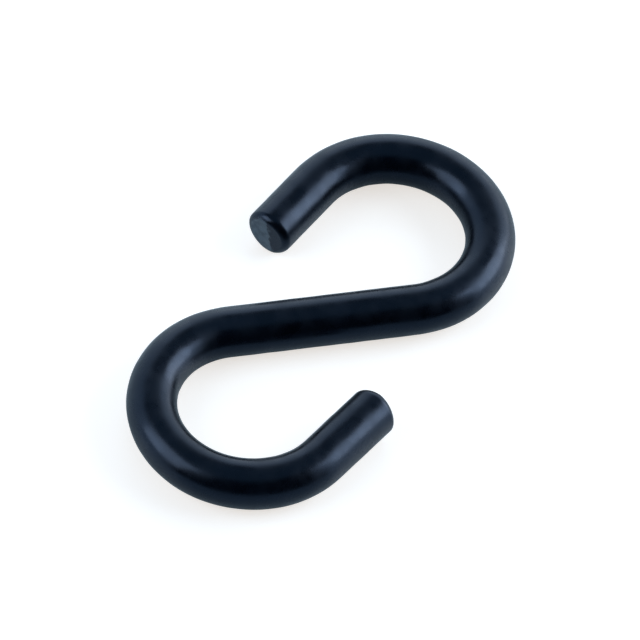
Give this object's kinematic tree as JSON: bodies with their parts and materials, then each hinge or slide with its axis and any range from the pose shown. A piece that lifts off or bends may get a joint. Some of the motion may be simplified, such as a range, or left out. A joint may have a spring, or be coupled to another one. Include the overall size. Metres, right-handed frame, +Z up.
{
  "type": "s hook",
  "caption": "S hook bent from one length of round rod, with two open loops that face opposite ways and flat cut tips.",
  "frame": {"origin": "on the line of pull through both loop centres, at the middle of the overall length, in the plane that the hook lies on", "axes": "+Y along the line of pull towards the upper loop, +Z up across the rod, +X to the right seen from above"},
  "size_m": [0.0302, 0.0606, 0.006],
  "materials": {
    "black_coat": "semi-gloss blue-black coat on steel rod"
  },
  "bodies": {
    "root": {"hook": "black_coat"}
  },
  "joints": []
}
